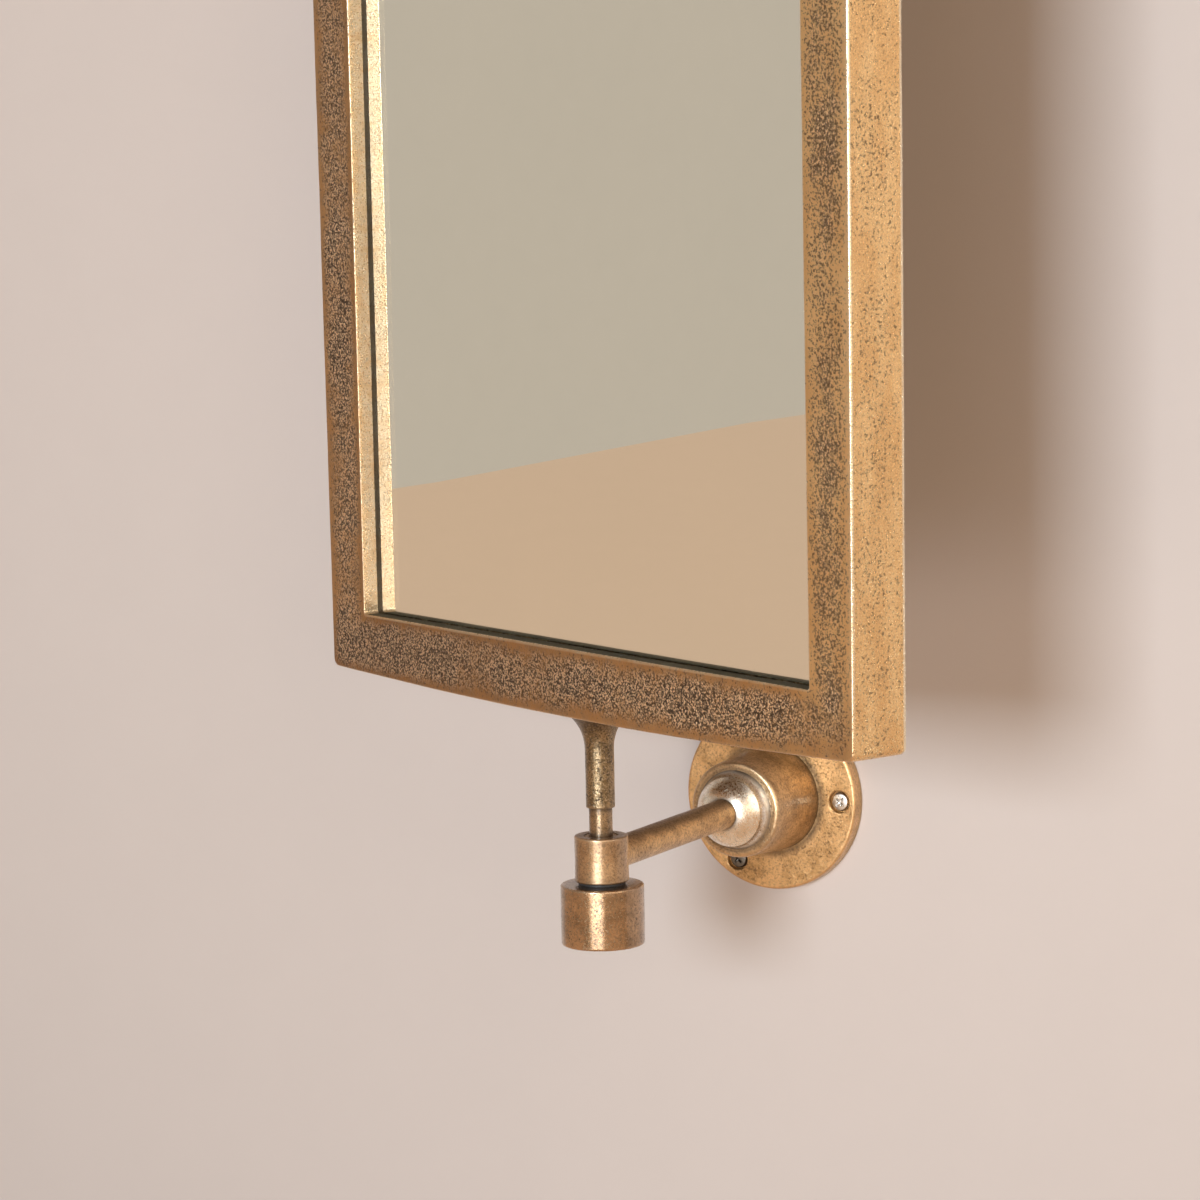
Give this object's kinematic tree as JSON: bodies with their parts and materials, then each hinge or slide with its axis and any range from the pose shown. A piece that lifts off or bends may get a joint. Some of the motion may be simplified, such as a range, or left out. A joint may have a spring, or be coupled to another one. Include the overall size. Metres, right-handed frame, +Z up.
{
  "type": "rotating wall mirror",
  "caption": "Tall framed mirror that turns on upright pivots between wall arms, with round wall plates, tapered bosses and plain cylinder end knobs.",
  "frame": {"origin": "centre of the lower wall plate's back face, on the wall plane", "axes": "+X to the right along the wall, +Y into the wall, +Z up; the mirror faces -Y"},
  "size_m": [0.3258, 0.2719, 1.5116],
  "materials": {
    "cast_brass": "antique cast, pitted",
    "turned_brass": "antique satin",
    "mirror_glass": "silvered glass",
    "bush_bronze": "oiled bearing bronze",
    "black_nylon": "moulded",
    "screw_steel": "zinc plated",
    "clip_steel": "zinc plated",
    "packing_strip": "closed-cell strip",
    "panel_board": "bare fibreboard"
  },
  "bodies": {
    "wall_brackets": {"lower_wall_plate": "turned_brass", "lower_boss": "turned_brass", "lower_dome": "turned_brass", "lower_arm": "cast_brass", "lower_arm_screw": "screw_steel", "lower_wall_screws": "screw_steel", "lower_sleeve": "turned_brass", "lower_bush": "bush_bronze", "upper_wall_plate": "turned_brass", "upper_boss": "turned_brass", "upper_dome": "turned_brass", "upper_arm": "cast_brass", "upper_arm_screw": "screw_steel", "upper_wall_screws": "screw_steel", "upper_sleeve": "turned_brass", "upper_bush": "bush_bronze"},
    "mirror_leaf": {"lower_pin": "turned_brass", "lower_stem": "cast_brass", "lower_washer": "black_nylon", "lower_knob": "turned_brass", "upper_pin": "turned_brass", "upper_stem": "cast_brass", "upper_washer": "black_nylon", "upper_knob": "turned_brass", "mirror_frame": "cast_brass", "mirror_glass": "mirror_glass", "glass_packing": "packing_strip", "back_panel": "panel_board", "panel_clips": "clip_steel", "clip_screws": "screw_steel"}
  },
  "joints": [
    {"name": "mirror_turn", "type": "hinge", "parent": "wall_brackets", "child": "mirror_leaf", "pos_m": [0, -0.155, 0], "axis": [0, 0, 1], "range_deg": [-34, 82]}
  ]
}
